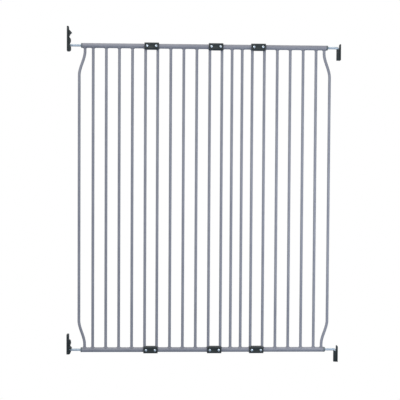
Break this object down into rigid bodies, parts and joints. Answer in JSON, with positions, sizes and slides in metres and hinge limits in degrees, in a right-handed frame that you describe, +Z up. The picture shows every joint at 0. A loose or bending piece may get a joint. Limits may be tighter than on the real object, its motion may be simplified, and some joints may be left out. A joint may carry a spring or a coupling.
{
  "type": "pet gate",
  "caption": "Tall screw-fit barred pet gate on lift-off hinge pins, with sleeve-joined panels, adjustable latch pins and a sliding lock.",
  "frame": {"origin": "middle of the doorway and of the gate's thickness, level with the underside of the lowest wall bracket", "axes": "+X from the latch side to the hinge side, +Y away from the viewer and the way the gate opens, +Z up"},
  "size_m": [0.8846, 0.0266, 1.086],
  "materials": {
    "powder_coat": "satin grey powder coat",
    "black_plastic": "fine-grained black moulded plastic",
    "grey_plastic": "dark grey moulded plastic",
    "zinc_steel": "bright zinc plating"
  },
  "bodies": {
    "wall_brackets": {"hinge_bracket_top": "black_plastic", "hinge_bracket_bottom": "black_plastic", "latch_bracket_top": "black_plastic", "latch_bracket_bottom": "black_plastic"},
    "hinge_pins": {"hinge_pin_top": "zinc_steel", "hinge_pin_bottom": "zinc_steel"},
    "gate": {"rail_top_a": "powder_coat", "rail_top_b": "powder_coat", "rail_top_c": "powder_coat", "rail_top_d": "powder_coat", "rail_bottom_a": "powder_coat", "rail_bottom_b": "powder_coat", "rail_bottom_c": "powder_coat", "rail_bottom_d": "powder_coat", "bar_a1": "powder_coat", "bar_a2": "powder_coat", "bar_a3": "powder_coat", "bar_a4": "powder_coat", "bar_a5": "powder_coat", "bar_b1": "powder_coat", "bar_b2": "powder_coat", "bar_b3": "powder_coat", "bar_b4": "powder_coat", "bar_b5": "powder_coat", "bar_c1": "powder_coat", "bar_c2": "powder_coat", "bar_c3": "powder_coat", "bar_c4": "powder_coat", "bar_d1": "powder_coat", "bar_d2": "powder_coat", "bar_d3": "powder_coat", "bar_d4": "powder_coat", "bar_d5": "powder_coat", "stile_left": "powder_coat", "stile_right": "powder_coat", "clip_top_1": "black_plastic", "clip_top_2": "black_plastic", "clip_top_3": "black_plastic", "end_plug_top_left": "grey_plastic", "end_plug_top_right": "grey_plastic", "clip_bottom_1": "black_plastic", "clip_bottom_2": "black_plastic", "clip_bottom_3": "black_plastic", "end_plug_bottom_left": "grey_plastic", "end_plug_bottom_right": "grey_plastic", "clip_screw_top_1_left": "zinc_steel", "clip_screw_top_1_right": "zinc_steel", "clip_screw_top_2_left": "zinc_steel", "clip_screw_top_2_right": "zinc_steel", "clip_screw_top_3_left": "zinc_steel", "clip_screw_top_3_right": "zinc_steel", "clip_screw_bottom_1_left": "zinc_steel", "clip_screw_bottom_1_right": "zinc_steel", "clip_screw_bottom_2_left": "zinc_steel", "clip_screw_bottom_2_right": "zinc_steel", "clip_screw_bottom_3_left": "zinc_steel", "clip_screw_bottom_3_right": "zinc_steel"},
    "latch_pin_upper": {"latch_pin_top": "zinc_steel"},
    "latch_pin_lower": {"latch_pin_bottom": "zinc_steel"},
    "lock": {"lock_slider": "black_plastic"}
  },
  "joints": [
    {"name": "gate_swing", "type": "hinge", "parent": "wall_brackets", "child": "hinge_pins", "pos_m": [0.4351, 0, 1.025], "axis": [0, 0, -1], "range_deg": [0, 88]},
    {"name": "hinge_side_adjust", "type": "slide", "parent": "hinge_pins", "child": "gate", "axis": [1, 0, 0], "range_m": [0, 0.012]},
    {"name": "latch_pin_top_adjust", "type": "slide", "parent": "gate", "child": "latch_pin_upper", "axis": [1, 0, 0], "range_m": [0, 0.02]},
    {"name": "latch_pin_bottom_adjust", "type": "slide", "parent": "gate", "child": "latch_pin_lower", "axis": [1, 0, 0], "range_m": [0, 0.02]},
    {"name": "lock_slide", "type": "slide", "parent": "wall_brackets", "child": "lock", "axis": [0, 0, 1], "range_m": [0, 0.0065]}
  ]
}
